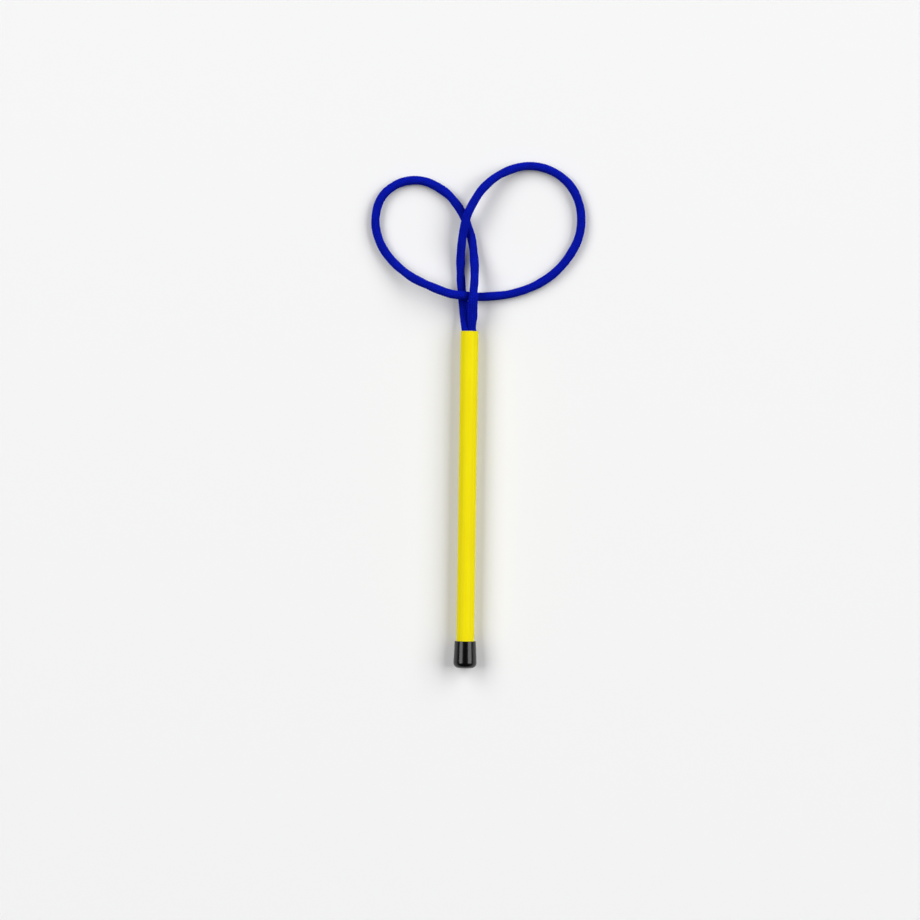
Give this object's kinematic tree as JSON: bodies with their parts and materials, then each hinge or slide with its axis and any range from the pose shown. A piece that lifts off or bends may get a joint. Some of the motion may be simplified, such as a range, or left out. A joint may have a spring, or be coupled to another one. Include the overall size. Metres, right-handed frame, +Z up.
{
  "type": "bubble wand",
  "caption": "Hand-held bubble wand: a straight tube handle with a push-on end cap, and a knotted, lobed loop of springy core in an absorbent knitted sleeve that holds the soap film.",
  "frame": {"origin": "centre of the end cap's flat end face, on the axis of the handle", "axes": "+Y along the handle from the cap towards the loops, +Z up from the surface that the wand lies on, +X to the right seen from above with the loops away from the viewer"},
  "size_m": [0.1396, 0.3298, 0.0162],
  "materials": {
    "yellow_plastic": "satin extruded plastic",
    "black_vinyl": "smooth glossy moulded vinyl",
    "plug_plastic": "plain moulded plastic",
    "core_plastic": "drawn plastic rod",
    "blue_knit": "matte circular-knit yarn"
  },
  "bodies": {
    "wand": {"handle_tube": "yellow_plastic", "anchor_plug": "plug_plastic", "loop_core": "core_plastic", "loop_sleeve": "blue_knit"},
    "cap": {"end_cap": "black_vinyl"}
  },
  "joints": [
    {"name": "cap_pull", "type": "slide", "parent": "wand", "child": "cap", "axis": [0, -1, 0], "range_m": [0, 0.025]}
  ]
}
